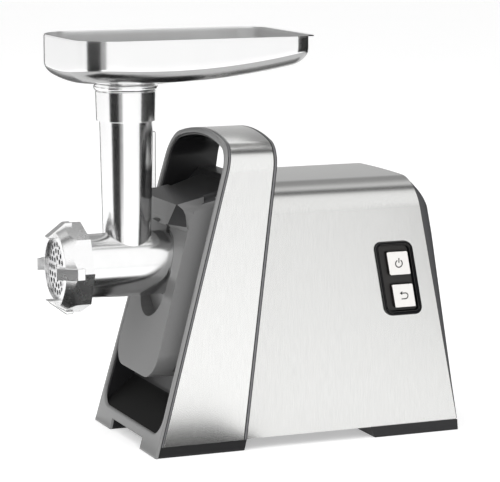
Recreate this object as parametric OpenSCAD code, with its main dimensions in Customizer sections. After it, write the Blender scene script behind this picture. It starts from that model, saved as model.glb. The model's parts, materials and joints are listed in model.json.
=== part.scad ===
// Electric meat grinder: leaning steel-wrapped tower with a carry handle, steel-wrapped motor body behind it,
// and a polished grinding head with its tray. Millimetres. +Y points to the rear, +Z up, the floor is Z = 0.

/* [Tower] */
// Width of the tower at the floor
tower_w = 164; // [150:1:180]
// Height of the tower
tower_h = 277.5; // [265:0.5:285]
// How far each side leans inwards for each millimetre of height
side_taper = 0.036; // [0.02:0.002:0.05]
// How far the front leans back for each millimetre of height
front_lean = 0.275; // [0.25:0.005:0.29]
// Length of the tower at the floor
tower_l = 85.2; // [82:0.2:92]
// How far the rear of the tower leans back for each millimetre of height
rear_lean = 0.134; // [0.12:0.002:0.15]
// Crown radius of the tower's top
tower_crown = 211; // [150:1:300]
// Shoulder radius of the tower
tower_shoulder = 27; // [20:1:34]
// Wall of the grey arch, with the steel skin
arch_wall = 4.5; // [4:0.1:6]
// Thickness of the dark liner inside the arch
liner_t = 2; // [1.5:0.1:3]
// Thickness of the steel skins
skin_t = 1; // [0.8:0.1:1.4]

/* [Body] */
// Height of the motor body
body_h = 233.6; // [225:0.2:240]
// How much narrower the body is than the tower, each side
body_inset = 2.2; // [1:0.1:4]
// Where the body's rear edge would meet the floor
body_rear = 296; // [290:1:310]
// How far the rear edge leans forwards for each millimetre of height
body_rear_lean = 0.184; // [0.15:0.002:0.2]
// Length of the foot blocks' stance, front to rear
stance_l = 295; // [285:1:300]
// Height of the feet
foot_h = 9.8; // [8:0.1:12]

/* [Head] */
// Height of the grinding axis
axis_z = 159.3; // [155:0.1:165]
// Radius of the barrel
barrel_r = 28.7; // [28:0.1:29.5]
// Radius of the barrel's bore
bore_r = 25.4; // [24.5:0.1:25.8]
// Distance of the feed tube's axis behind the tower's toe
tube_y = 4.5; // [2:0.5:7]
// Radius of the cutting plate
plate_r = 31; // [30:0.1:31.2]
// Radius of the plate's holes
plate_hole_r = 2.25; // [1.5:0.25:2.5]
// Radius of the ring nut over its corners
nut_r = 40.5; // [39:0.1:42]

/* [Tray] */
// Length of the tray's pan
tray_l = 212; // [200:0.2:225]
// Width of the tray
tray_w = 143; // [140:0.2:160]
// Height of the tray's rim above the floor
tray_z = 362.6; // [355:0.2:370]
// Depth of the tray at the throat
tray_depth = 41.6; // [38:0.2:44]
// Thickness of the tray's steel
tray_t = 1.2; // [1:0.1:2]

/* [Gears] */
// Teeth of the output gear and of the pinion that drives it
out_teeth = 48; // [44:1:50]
out_pinion = 12; // [12:1:13]
// Teeth of the second wheel and of the pinion that drives it
mid_teeth = 52; // [48:1:52]
mid_pinion = 13; // [12:1:13]
// Teeth of the first wheel and of the motor pinion
in_teeth = 60; // [56:1:60]
in_pinion = 12; // [12:1:12]

/* [Hidden] */
$fn = 64;

nut_toe = -70.5;                       // front of the nut's lugs
y_mid = (nut_toe + stance_l) / 2;      // the origin lies under the middle of the whole object
tilt = atan(side_taper);
far = 400;                             // longer than anything that is cut
running = 0.05;                        // radial clearance of a running fit
apart = 0.4;                           // gap between pieces that pass each other
seat = 0.05;                           // gap between shells that lie on each other

rim_l = 2.5;                           // grey front rim of the arch
trim_l = 2.8;                          // dark trim behind the rim
seam_l = 3.5;                          // dark seam strip at the tower's rear
sill_z = 18;                           // top of the bar below the front opening
foot_in = 40;                          // inner face of the feet

plateau_out = 8.5;                     // how far the front panel stands out of the arch's plane
housing_w = 104;                       // width of the drive housing
housing_z = 62;                        // its lowest point
housing_t = 3;
pocket_y = 35;                         // face that the barrel enters
pocket_r = 32;                          // recess around the barrel, longer below it
pocket_drop = 18;
socket_gap = 0.3;                      // between the barrel's neck and its socket
neck_end = 74;                         // rear end of the barrel
well_low = [37, 43];                   // foot and top of the wall behind the recess, as [Y, Z]
well_top = [73, 214];
well_t = 3;
drive_shift = 6;                       // moves the whole drive along Y

second_x = 24;                         // place of the second gear shaft, beside the output axis
motor_z = 80;
out_m = 1.5;                           // gear modules
mid_m = 1.25;
in_m = 1;

// Planes of the tower and the body, as Y at a height
function y_front(z) = front_lean * z;
function y_rear(z) = tower_l + rear_lean * z;
function y_tail(z) = body_rear - body_rear_lean * z;
function y_cover(z) = stance_l + 0.5 - 0.137 * z;
function y_panel(z) = y_front(z) - plateau_out;
function y_well(z) = well_low[0] + (well_top[0] - well_low[0]) * (z - well_low[1]) / (well_top[1] - well_low[1]);

function arc(c, r, a0, a1, n) =
    [for (i = [0 : n]) c + r * [cos(a0 + (a1 - a0) * i / n), sin(a0 + (a1 - a0) * i / n)]];

// Outline across the machine: leaning sides, round shoulders and a crowned top, set in by t
function arch(w, top, crown, shoulder, t, z0) =
    let (
        xc = w / 2 - side_taper * (top - shoulder) - shoulder / cos(tilt),
        zc = top - crown + sqrt(pow(crown - shoulder, 2) - xc * xc),
        a = atan2(zc - top + crown, xc),
        right = concat([[w / 2 - side_taper * z0 - t / cos(tilt), z0]], arc([xc, zc], shoulder - t, tilt, a, 9)),
        roof = [for (i = [1 : 11]) [0, top - crown] + (crown - t) * [cos(a + (180 - 2 * a) * i / 12),
                                                                     sin(a + (180 - 2 * a) * i / 12)]]
    )
    concat(right, roof, [for (i = [len(right) - 1 : -1 : 0]) [-right[i][0], right[i][1]]]);

function tower_outline(t, z0) = arch(tower_w, tower_h, tower_crown, tower_shoulder, t, z0);
function body_outline(t, z0) = arch(tower_w - 2 * body_inset, body_h, 1500, 28, t, z0);

// Rectangle with round corners, leaning by skew
function round_rect(w, h, r, skew = 0) =
    [for (k = [0 : 3]) let (sx = (k == 0 || k == 3) ? 1 : -1, sy = k < 2 ? 1 : -1)
        for (p = arc([sx * (w / 2 - r), sy * (h / 2 - r)], r, 90 * k, 90 * k + 90, 6)) [p[0] - skew * p[1], p[1]]];

// Where two circles meet, on the left of the line from p to q
function meet(p, rp, q, rq) =
    let (d = norm(q - p), a = (rp * rp - rq * rq + d * d) / (2 * d), h = sqrt(rp * rp - a * a), u = (q - p) / d)
    p + a * u + h * [-u[1], u[0]];

// Places of the gear shafts as [X, Z]
out_c = [0, axis_z];
mid_dist = out_m * (out_teeth + out_pinion) / 2;
mid_c = [second_x, axis_z - sqrt(mid_dist * mid_dist - second_x * second_x)];
motor_c = [0, motor_z];
first_c = meet(motor_c, in_m * (in_teeth + in_pinion) / 2, mid_c, mid_m * (mid_teeth + mid_pinion) / 2);

module at_origin() translate([0, -y_mid, 0]) children();
module in_drive() translate([0, drive_shift - y_mid, 0]) children();

// Extrudes an outline drawn in X and Z from y0 to y1
module along_y(y0, y1) translate([0, y1, 0]) rotate([90, 0, 0]) linear_extrude(y1 - y0) children();

// Extrudes an outline drawn in Y and Z from x0 to x1
module along_x(x0, x1) translate([x0, 0, 0]) rotate([90, 0, 90]) linear_extrude(x1 - x0) children();

// Round bar along Y at c = [X, Z]
module rod_y(c, r, y0, y1) translate([c[0], y1, c[1]]) rotate([90, 0, 0]) cylinder(r = r, h = y1 - y0);

// Ring of the tower between two depths below its outer face
module tower_ring(t0, t1, z0) along_y(-20, 150) difference() {
    polygon(tower_outline(t0, z0));
    polygon(tower_outline(t1, z0 - 1));
}

// Slab between two planes parallel to the leaning front
module front_slab(a, b) along_x(-far / 2, far / 2)
    polygon([[y_front(-5) + a, -5], [y_front(tower_h + 5) + a, tower_h + 5],
             [y_front(tower_h + 5) + b, tower_h + 5], [y_front(-5) + b, -5]]);

// Everything between a plane set back from the front and one set forward of the rear
module tower_wedge(a, b) along_x(-far / 2, far / 2)
    polygon([[y_front(-5) + a, -5], [y_front(tower_h + 5) + a, tower_h + 5],
             [y_rear(tower_h + 5) - b, tower_h + 5], [y_rear(-5) - b, -5]]);

module lock_hole(r) translate([0, lock_y, axis_z]) rotate([0, -90, 0]) cylinder(r = r, h = far / 2);
lock_y = 69;
lock_r = 4;

module tower_frame() color([0.42, 0.42, 0.44]) at_origin() difference() {
    union() {
        intersection() {
            tower_ring(skin_t + seat, arch_wall, foot_h);
            tower_wedge(rim_l, 0);
        }
        intersection() {
            along_y(-20, 150) difference() {
                polygon(tower_outline(0, 0));
                polygon(tower_outline(arch_wall, sill_z));
                translate([-foot_in, -1]) square([2 * foot_in, foot_h + 1]);
            }
            front_slab(0, rim_l);
        }
    }
    lock_hole(lock_r + 1);
}

module tower_skin() color([0.78, 0.78, 0.79]) at_origin() difference() {
    intersection() {
        tower_ring(0, skin_t, foot_h);
        tower_wedge(rim_l + trim_l, seam_l);
    }
    lock_hole(lock_r + 1);
}

module front_trim() color([0.12, 0.12, 0.13]) at_origin() intersection() {
    tower_ring(0, skin_t, foot_h);
    front_slab(rim_l, rim_l + trim_l);
}

module seam_trim() color([0.12, 0.12, 0.13]) at_origin() intersection() {
    tower_ring(0, skin_t, foot_h);
    difference() {
        tower_wedge(20, 0);
        tower_wedge(-20, seam_l);
    }
}

module arch_liner() color([0.16, 0.16, 0.17]) at_origin() difference() {
    intersection() {
        tower_ring(arch_wall + seat, arch_wall + liner_t, sill_z);
        tower_wedge(rim_l + seat, 0);
    }
    lock_hole(lock_r + 1);
}

// Side profile of the drive housing, set in by t at the front and the top
hood_y = 34;
hood_low = 187;
hood_top = 217;
deck_z = 234;
deck_end = y_rear(deck_z - housing_t);
function housing_side(t) = [
    [y_panel(housing_z) + t, housing_z], [y_panel(hood_low) + t, hood_low], [hood_y + t, hood_low + 12],
    [hood_y + t, hood_top - 4], [hood_y + 4 + t, hood_top - t], [84, hood_top + 2 - t], [98, deck_z - t],
    [deck_end, deck_z - t], [deck_end, deck_z - housing_t], [99.5, deck_z - housing_t],
    [86, hood_top - 1], [y_well(well_top[1]) + well_t, well_top[1]], [y_well(housing_z) + well_t, housing_z]];

// Front outline of the drive housing, set in by t
function housing_front(t) = let (w = housing_w / 2 - t) concat(
    arc([w - 24 + t, housing_z + 24], 24 - t, -90, 0, 6), arc([w - 10 + t, deck_z - 10], 10, 0, 90, 4),
    arc([-w + 10 - t, deck_z - 10], 10, 90, 180, 4), arc([-w + 24 - t, housing_z + 24], 24 - t, 180, 270, 6));

module pocket(r, depth) hull() for (drop = [0, pocket_drop])
    rod_y(out_c - [0, drop], r - drop / 9, -20, depth);
module drive_housing() color([0.24, 0.24, 0.25]) at_origin() difference() {
    union() {
        difference() {
            intersection() {
                along_x(-far / 2, far / 2) polygon(housing_side(0));
                along_y(-20, 150) polygon(housing_front(0));
            }
            difference() {
                intersection() {
                    along_x(-far / 2, far / 2) polygon(concat(
                        [for (i = [0 : 5]) housing_side(housing_t)[i]],
                        [[120, hood_top - 1], [120, housing_z]]));
                    along_y(-20, 150) polygon(housing_front(housing_t));
                }
                pocket(pocket_r + housing_t, pocket_y + housing_t);
            }
        }
        rod_y(out_c, 34, pocket_y + housing_t, neck_end + 2);
    }
    pocket(pocket_r, pocket_y);
    rod_y(out_c, barrel_r + socket_gap, 0, neck_end + 3);
    translate([-4, 0, axis_z]) cube([8, neck_end + 3, barrel_r + 7]);
    lock_hole(lock_r + 1);
}

module front_well() color([0.2, 0.2, 0.21]) at_origin() difference() {
    intersection() {
        along_x(-far / 2, far / 2) polygon([
            [y_front(sill_z) + rim_l, sill_z], well_low, well_top, [84, hood_top + 2], [98, deck_z],
            [deck_end, deck_z], [deck_end, deck_z - well_t], [99.5, deck_z - well_t],
            [86, hood_top - 1], well_top + [well_t, -well_t], well_low + [well_t, -well_t],
            [y_front(sill_z) + rim_l + 2, sill_z - well_t], [y_front(sill_z) + rim_l, sill_z - well_t]]);
        along_y(-20, 150) polygon(tower_outline(arch_wall + liner_t, 0));
    }
    along_y(-20, 150) polygon(housing_front(0));
    lock_hole(lock_r + 1);
}

// Profile of the body between a plane behind the tower and one ahead of the rear edge
module body_wedge(a, b) along_x(-far / 2, far / 2)
    polygon([[y_rear(-5) + a, -5], [y_rear(body_h + 5) + a, body_h + 5],
             [y_tail(body_h + 5) - b, body_h + 5], [y_tail(-5) - b, -5]]);

panel_c = [235.5, 143.3];              // middle of the control panel, as [Y, Z]
panel_skew = 0.17;
module on_panel() translate([tower_w / 2 - body_inset - side_taper * panel_c[1], panel_c[0], panel_c[1]])
    rotate([0, -tilt, 0]) children();
module panel_slab(w, h, r, x0, x1) along_x(x0, x1) polygon(round_rect(w, h, r, panel_skew));

module body_skin() color([0.78, 0.78, 0.79]) at_origin() difference() {
    intersection() {
        along_y(80, 300) difference() {
            polygon(body_outline(0, foot_h));
            polygon(body_outline(skin_t, foot_h - 1));
        }
        body_wedge(0, 0);
    }
    on_panel() panel_slab(35.5, 65.4, 6, -5, 5);
}

vent_rows = 9;
gland_c = [-38, 42];                   // cord inlet, as [X, Z]
gland_r = 8;
gland_end = y_cover(gland_c[1] - 10) + 2.1;
cover_screw_at = [[-58, 24], [58, 24], [-52, 196], [52, 196]];
module cover_block(t, out) intersection() {
    along_y(150, 320) polygon(body_outline(t, foot_h));
    along_x(-far / 2, far / 2)
        polygon([[y_tail(0) - 10, 0], [y_tail(body_h) - 10, body_h], [y_tail(body_h - 12) + out - 2, body_h],
                 [y_cover(205) + out, 205], [y_cover(0) + out, 0]]);
}
module rear_cover() color([0.22, 0.22, 0.23]) at_origin() difference() {
    union() {
        cover_block(skin_t, -5);
        cover_block(skin_t + 3, -2);
        cover_block(skin_t + 7, 0);
    }
    translate([0, -3, 0]) cover_block(skin_t + 3.5, -5);
    translate([0, -12, 0]) cover_block(skin_t + 3.5, 0);
    for (i = [0 : vent_rows - 1], s = [-1, 1])
        translate([s * 26 - 20, 240, 90 + 10 * i]) cube([40, 60, 4]);
    rod_y(gland_c, gland_r, 240, 320);
    for (p = cover_screw_at) rod_y(p, 2, 240, 320);
}

module cover_screws() color([0.35, 0.35, 0.36]) at_origin()
    for (p = cover_screw_at) let (y = y_cover(p[1] - 3.5)) difference() {
        union() {
            rod_y(p, 1.9, y - 16, y + 0.5);
            rod_y(p, 3.5, y, y + 1.6);
        }
        translate([p[0] - 2, y + 0.6, p[1] - 0.4]) cube([4, 2, 0.8]);
        translate([p[0] - 0.4, y + 0.6, p[1] - 2]) cube([0.8, 2, 4]);
    }

module base_plate() color([0.13, 0.13, 0.14]) at_origin() difference() {
    union() {
        translate([-74, y_front(foot_h + 3) + rim_l, foot_h])
            cube([148, y_tail(foot_h) - 11 - y_front(foot_h + 3) - rim_l, 3]);
        for (s = [-1, 1]) translate([s * 60 - 1.5, 60, foot_h + 3]) cube([3, 200, 10]);
    }
    for (i = [0 : 9]) translate([-30, 160 + 8 * i, 0]) cube([60, 4, 20]);
    for (p = base_screw_at) translate([p[0], p[1], 0]) cylinder(r = 2, h = 20);
}

base_screw_at = [[-50, 110], [50, 110], [-50, 196], [50, 196]];
module base_screws() color([0.5, 0.5, 0.52]) at_origin() for (p = base_screw_at) translate([p[0], p[1], 0])
    difference() {
        union() {
            translate([0, 0, foot_h]) cylinder(r = 1.95, h = 12);
            translate([0, 0, foot_h - 2]) cylinder(r = 3.6, h = 2);
        }
        translate([-2.2, -0.4, foot_h - 2.5]) cube([4.4, 0.8, 1.5]);
        translate([-0.4, -2.2, foot_h - 2.5]) cube([0.8, 4.4, 1.5]);
    }

module foot_pair(side_profile) for (s = [0, 1]) mirror([s, 0, 0])
    along_x(foot_in, tower_w / 2 - 1) polygon(side_profile);

module front_feet() color([0.1, 0.1, 0.11]) at_origin()
    foot_pair([[rim_l, 0], [tower_l - 1, 0], [y_rear(foot_h), foot_h], [y_front(foot_h) + rim_l, foot_h]]);

module rear_feet() color([0.1, 0.1, 0.11]) at_origin()
    foot_pair([[stance_l - 84, 0], [stance_l, 0], [y_tail(foot_h), foot_h], [stance_l - 87, foot_h],
               [stance_l - 87, foot_h - 2]]);

button_at = [[2, 13.8], [2, -15.8]];   // middle of each button on the panel, as [Y, Z]
button_w = 20.4;
button_h = 21;
module control_bezel() color([0.07, 0.07, 0.08]) at_origin() on_panel() difference() {
    union() {
        panel_slab(37.5, 67.4, 7, 0, 2);
        panel_slab(35.2, 65.1, 6, -6, 0);
    }
    panel_slab(30.5, 60.4, 4, -3, 3);
    for (c = button_at) translate([0, c[0] - panel_skew * c[1], c[1]])
        panel_slab(button_w + 2 * apart, button_h + 2 * apart, 1.5, -7, 0);
}

module panel_button(c) at_origin() on_panel() translate([0, c[0] - panel_skew * c[1], c[1]]) {
    panel_slab(button_w, button_h, 1.2, -6.4, 3);
    panel_slab(button_w + 3, button_h + 3, 1.2, -8, -6.4);
    rotate([0, -90, 0]) translate([0, 0, 8]) cylinder(r = 3, h = 3);
}
module power_button() color([0.88, 0.87, 0.86]) panel_button(button_at[0]);
module reverse_button() color([0.88, 0.87, 0.86]) panel_button(button_at[1]);

module switch_board() color([0.12, 0.35, 0.2]) at_origin() on_panel() {
    panel_slab(34, 62, 3, -20, -18);
    for (c = button_at) translate([0, c[0] - panel_skew * c[1], c[1]]) {
        panel_slab(12, 12, 1, -18, -14);
        rotate([0, -90, 0]) translate([0, 0, 13.4]) cylinder(r = 3, h = 0.6);
    }
}

module speed_board() color([0.12, 0.35, 0.2]) at_origin() {
    translate([-60, 228, 60]) cube([1.6, 32, 90]);
    translate([-58.4, 232, 70]) cube([14, 18, 26]);
    translate([-58.4, 252, 130]) rotate([0, 90, 0]) cylinder(r = 5, h = 24);
    translate([-58.4, 234, 104]) cube([8, 14, 18]);
}

module cable_gland() color([0.08, 0.08, 0.08]) at_origin() difference() {
    union() {
        rod_y(gland_c, gland_r, 270, gland_end);
        rod_y(gland_c, gland_r + 2, gland_end - 2, gland_end);
        rod_y(gland_c, gland_r + 2, 268, 270);
    }
    rod_y(gland_c, 3.75, 260, 300);
}

// Grinding head, along the axis at out_c
mouth_y = -57;
plate_y = -60.7;
plate_t = 5.5;
thread_r = 35.15;
nut_back = -39;
tube_top = 321;
module grinder_head() color([0.82, 0.82, 0.84]) at_origin() difference() {
    union() {
        translate([0, 0, axis_z]) rotate([-90, 0, 0]) rotate_extrude() polygon([
            [0, mouth_y], [thread_r, mouth_y], [thread_r, -42], [barrel_r, -38.5], [barrel_r, neck_end],
            [0, neck_end]]);
        translate([0, tube_y, 0]) rotate_extrude() polygon(concat(
            [[0, axis_z], [21.3, axis_z], [23.6, 287.6], [26.2, 288.4], [27, 313.5]],
            arc([25.2, 317.3], 3.6, -62, 90, 6), [[0, tube_top - 0.1]]));
        translate([-2.5, tube_y + 18, 205]) cube([5, 8.6, 68]);
        translate([-3.5, 44, axis_z]) cube([7, 12, barrel_r + 5]);
    }
    rod_y(out_c, bore_r, -80, 44);
    rod_y(out_c, plate_r + 0.1, -80, plate_y + plate_t);
    rod_y(out_c, 14, 40, 90);
    rod_y(out_c, 17, neck_end - 6, 90);
    translate([0, tube_y, axis_z]) cylinder(r1 = 18.6, r2 = 21, h = 137);
    translate([0, tube_y, 290]) cylinder(r = 24.4, h = 40);
    translate([-2, mouth_y - 1, axis_z + plate_r - 2]) cube([4, 5, 5]);
}

// Ring nut: eight flats, a coned front and four wedge lugs
module ring_nut() color([0.8, 0.8, 0.82]) at_origin() translate([0, 0, axis_z]) difference() {
    union() {
        intersection() {
            rotate([-90, 0, 0]) rotate_extrude() polygon([[0, -63.5], [33.5, -63.5], [36.8, -61.8], [41.2, -48.6],
                                                          [41.2, nut_back], [0, nut_back]]);
            translate([0, -far / 2, 0]) rotate([-90, 0, 0]) cylinder(r = nut_r, h = far, $fn = 8);
        }
        for (k = [0 : 3]) rotate([0, 90 * k, 0]) along_x(-5.3, 5.3)
            polygon([[nut_toe, 27.6], [nut_toe, 28.8], [-54.4, 40.8], [-48, 40.8], [-48, 37], [-62, 27.6]]);
    }
    rotate([90, 0, 0]) translate([0, 0, 20]) cylinder(r = thread_r + running, h = 37.1);
    rotate([90, 0, 0]) translate([0, 0, 50]) cylinder(r = plate_r + 0.3, h = 10.9);
    rotate([90, 0, 0]) translate([0, 0, 50]) cylinder(r = 27.2, h = 40);
}

ring_holes = [[9.5, 8], [15.5, 14], [21.3, 20]];      // [circle radius, holes]
module cutting_plate() color([0.7, 0.7, 0.71]) at_origin() difference() {
    union() {
        rod_y(out_c, plate_r, plate_y, plate_y + plate_t);
        translate([-1.8, mouth_y, axis_z + plate_r - 1.5]) cube([3.6, plate_y + plate_t - mouth_y, 3.3]);
    }
    rod_y(out_c, 4, plate_y - 1, plate_y + plate_t + 1);
    for (ring = ring_holes, i = [0 : ring[1] - 1]) let (a = 360 * i / ring[1])
        rod_y(out_c + ring[0] * [cos(a), sin(a)], plate_hole_r, plate_y - 1, plate_y + plate_t + 1);
}

knife_y = plate_y + plate_t + 0.1;
module cutting_knife() color([0.72, 0.72, 0.74]) at_origin() translate([0, 0, axis_z]) difference() {
    union() {
        rod_y([0, 0], 9, knife_y, knife_y + 6.4);
        for (k = [0 : 3]) rotate([0, 90 * k, 0])
            along_x(-3.5, 3.5) polygon([[knife_y, 0], [knife_y, 24.6], [knife_y + 3, 24.6], [knife_y + 5.5, 8],
                                        [knife_y + 5.5, 0]]);
    }
    translate([-4.6, knife_y - 1, -4.6]) cube([9.2, 9, 9.2]);
}

screw_y = knife_y + 6.5;
screw_l = 86;
module auger() color([0.8, 0.8, 0.82]) at_origin() translate([0, 0, axis_z]) {
    translate([0, screw_y + screw_l, 0]) rotate([90, 0, 0])
        linear_extrude(height = screw_l, twist = 900, slices = 48) union() {
            circle(r = 11, $fn = 14);
            polygon(concat([[0, 0]], arc([0, 0], 24.7, -22, 22, 3)));
        }
    rod_y([0, 0], 13.9, screw_y + screw_l, neck_end - 9);
    rod_y([0, 0], 10.5, neck_end - 9, neck_end + 1);
    translate([-4.5, screw_y - 6.4, -4.5]) cube([9, 6.5, 9]);
    rod_y([0, 0], 3.9, plate_y + 0.5, screw_y - 6.3);
    translate([0, neck_end + 11, 0]) rotate([90, 0, 0]) cylinder(r = 8.2, h = 10, $fn = 6);
}

module auger_bush() color([0.9, 0.9, 0.88]) at_origin() difference() {
    rod_y(out_c, 16.9, neck_end - 6, neck_end);
    rod_y(out_c, 10.5 + running, 50, 90);
}

// Feeding tray: a deep pan whose floor rises in a long arc to the rear
pan_front = -57.5;
pan_c = pan_front + tray_l / 2;
floor_r = 700;
function pan_side(t) = let (
    y0 = pan_front + t, y1 = pan_front + tray_l - t, low = tray_z - tray_depth + t, c = [15, low + floor_r],
    a0 = -90 + asin((y0 + 16 - 15) / floor_r), a1 = -90 + asin((y1 - 14 - 15) / floor_r),
    p0 = c + floor_r * [cos(a0), sin(a0)], p1 = c + floor_r * [cos(a1), sin(a1)])
    concat([[y0, tray_z + 1], [y0, p0[1] + 14]], arc([y0 + 16, p0[1] + 16], 16, 184, 266, 5),
           arc(c, floor_r, a0, a1, 14), arc([y1 - 14, p1[1] + 14], 14, -84, -4, 5), [[y1, tray_z + 1]]);
function pan_cross(t) = let (w = tray_w / 2 - t, low = tray_z - tray_depth + t) concat(
    [[-w, tray_z + 1]], arc([-w + 20, low + 20], 20, 180, 270, 6), arc([w - 20, low + 20], 20, 270, 360, 6),
    [[w, tray_z + 1]]);
module pan_solid(t) intersection() {
    along_x(-far / 2, far / 2) polygon(pan_side(t));
    along_y(-100, 200) polygon(pan_cross(t));
    translate([0, pan_c, 0]) linear_extrude(tray_z + t) polygon(round_rect(tray_w - 2 * t, tray_l - 2 * t, 32 - t));
}
throat_r = 22.6;
module tray() color([0.82, 0.82, 0.84]) at_origin() difference() {
    union() {
        difference() {
            pan_solid(0);
            pan_solid(tray_t);
        }
        translate([-56, pan_front + tray_l - 0.5, tray_z - 2]) cube([112, 6, 1.5]);
        translate([0, tube_y, 297]) cylinder(r = 24, h = tray_z - tray_depth - 297 + 1);
    }
    translate([0, tube_y, 290]) cylinder(r = throat_r, h = 50);
}

// Thumb screw that holds the head, on the side away from the controls
module lock_knob() color([0.1, 0.1, 0.11]) at_origin() translate([0, lock_y, axis_z]) rotate([0, -90, 0]) {
    translate([0, 0, tower_w / 2 - side_taper * axis_z + 0.6]) difference() {
        cylinder(r = 12, h = 5);
        for (a = [0 : 30 : 330]) rotate([0, 0, a]) translate([12.8, 0, -1]) cylinder(r = 2, h = 7);
    }
    translate([0, 0, barrel_r + apart]) cylinder(r = lock_r, h = tower_w / 2 - side_taper * axis_z - barrel_r + 0.3);
}

// Involute gear outline with a little backlash
addendum = 0.8;
dedendum = 1.15;
backlash = 0.3;
function inv(a) = (tan(a) * 180 / PI - a);
function tooth_half(m, z, r) = let (pitch = m * z / 2, base = pitch * cos(20))
    90 / z - backlash / 2 / pitch * 180 / PI + inv(20) - inv(acos(min(1, base / r)));
function gear_outline(m, z, turn) = let (pitch = m * z / 2, tip = pitch + addendum * m,
    base = max(pitch * cos(20), pitch - dedendum * m), root = pitch - dedendum * m, radii = [root, base, pitch, tip])
    [for (i = [0 : z - 1], side = [-1, 1], k = [0 : 3]) let (
        r = radii[side < 0 ? k : 3 - k], a = turn + 360 * i / z + side * tooth_half(m, z, max(r, base)))
        r * [cos(a), sin(a)]];
module gear(c, m, z, turn, y0, y1) translate([c[0], 0, c[1]]) along_y(y0, y1) polygon(gear_outline(m, z, turn));
function heading(p, q) = atan2(q[1] - p[1], q[0] - p[0]);
function gap_towards(p, q, z) = heading(p, q) + 180 / z;

module drive_socket() color([0.15, 0.15, 0.16]) in_drive() difference() {
    rod_y(out_c, 14, neck_end + 2 - drive_shift, 80);
    translate([0, 79.5, axis_z]) rotate([90, 0, 0]) cylinder(r = 8.7, h = 20, $fn = 6);
}

shaft_r = 8;
pin_r = 4;
module output_shaft() color([0.6, 0.6, 0.62]) in_drive() rod_y(out_c, shaft_r, 80, 134);

module output_gear() color([0.9, 0.88, 0.8]) in_drive() difference() {
    gear(out_c, out_m, out_teeth, heading(out_c, mid_c), 96, 110);
    rod_y(out_c, shaft_r, 90, 120);
    for (a = [0 : 60 : 300]) rod_y(out_c + 22 * [cos(a), sin(a)], 6, 90, 120);
}

module output_bushes() color([0.72, 0.55, 0.3]) in_drive() for (y = [84, 131]) difference() {
    rod_y(out_c, 11, y, y + (y < 100 ? 10 : 5));
    rod_y(out_c, shaft_r + running, y - 1, y + 20);
}

module second_gear() color([0.9, 0.88, 0.8]) in_drive() difference() {
    union() {
        gear(mid_c, out_m, out_pinion, gap_towards(mid_c, out_c, out_pinion), 94, 112);
        gear(mid_c, mid_m, mid_teeth, heading(mid_c, first_c), 112, 120);
    }
    rod_y(mid_c, pin_r + running, 90, 130);
}

module first_gear() color([0.9, 0.88, 0.8]) in_drive() difference() {
    union() {
        gear(first_c, mid_m, mid_pinion, gap_towards(first_c, mid_c, mid_pinion), 111, 121.5);
        gear(first_c, in_m, in_teeth, heading(first_c, motor_c), 121.5, 129);
    }
    rod_y(first_c, pin_r + running, 90, 135);
}

module second_pin() color([0.6, 0.6, 0.62]) in_drive() rod_y(mid_c, pin_r, 80, 134);
module first_pin() color([0.6, 0.6, 0.62]) in_drive() rod_y(first_c, pin_r, 80, 134);

// Gearbox outline as [X, Z], scaled about its middle for the walls
box_c = [4, 125];
box_points = [[-51, 95], [-51, 140], [-42, 178], [-22, 204], [22, 204], [42, 186], [63, 142], [63, 102], [48, 84],
              [24, 60], [-20, 60], [-40, 72]];
module box_outline(k) polygon([for (p = box_points) box_c + k * (p - box_c)]);
box_screw_at = [[-46, 150], [-30, 190], [33, 190], [57, 118], [-44, 82], [28, 66]];
module gearbox_shell() color([0.6, 0.6, 0.61]) in_drive() difference() {
    union() {
        difference() {
            along_y(82, 131) box_outline(1);
            along_y(86, 132) box_outline(0.93);
        }
        rod_y(out_c, 15, 84, 94);
        for (c = [mid_c, first_c]) rod_y(c, 8, 84, 92);
    }
    rod_y(out_c, shaft_r + 1, 70, 90);
    rod_y(out_c, 11, 84, 100);
    for (c = [mid_c, first_c]) rod_y(c, pin_r, 80, 140);
}

module gearbox_cover() color([0.6, 0.6, 0.61]) in_drive() difference() {
    union() {
        along_y(131, 137) box_outline(1);
        translate([-36, 131, 44]) cube([72, 6, 50]);
    }
    rod_y(out_c, 11, 130, 136);
    for (c = [mid_c, first_c]) rod_y(c, pin_r, 120, 134);
    rod_y(motor_c, 11, 130, 140);
    for (p = motor_bolt_at) rod_y(p, 2, 120, 140);
}

module gearbox_screws() color([0.5, 0.5, 0.52]) in_drive() for (p = box_screw_at) difference() {
    rod_y(p, 3.5, 137, 139.5);
    translate([p[0] - 2.4, 138.5, p[1] - 0.5]) cube([4.8, 2, 1]);
}

bracket_foot = 24;
module gearbox_bracket() color([0.45, 0.45, 0.47]) in_drive() {
    difference() {
        translate([-36, 92, bracket_foot]) cube([72, 34, 36]);
        translate([-32, 91, bracket_foot + 3]) cube([64, 36, 30]);
    }
    for (s = [-1, 1]) translate([s * 42 - 6, 92, bracket_foot]) cube([12, 34, 3]);
}

mount_at = [[-42, 109], [42, 109], [-36, 227], [36, 227]];
module rubber_mounts() color([0.08, 0.08, 0.08]) in_drive() for (p = mount_at)
    translate([p[0], p[1], foot_h + 3]) cylinder(r = 5.5, h = bracket_foot - foot_h - 3);

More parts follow.
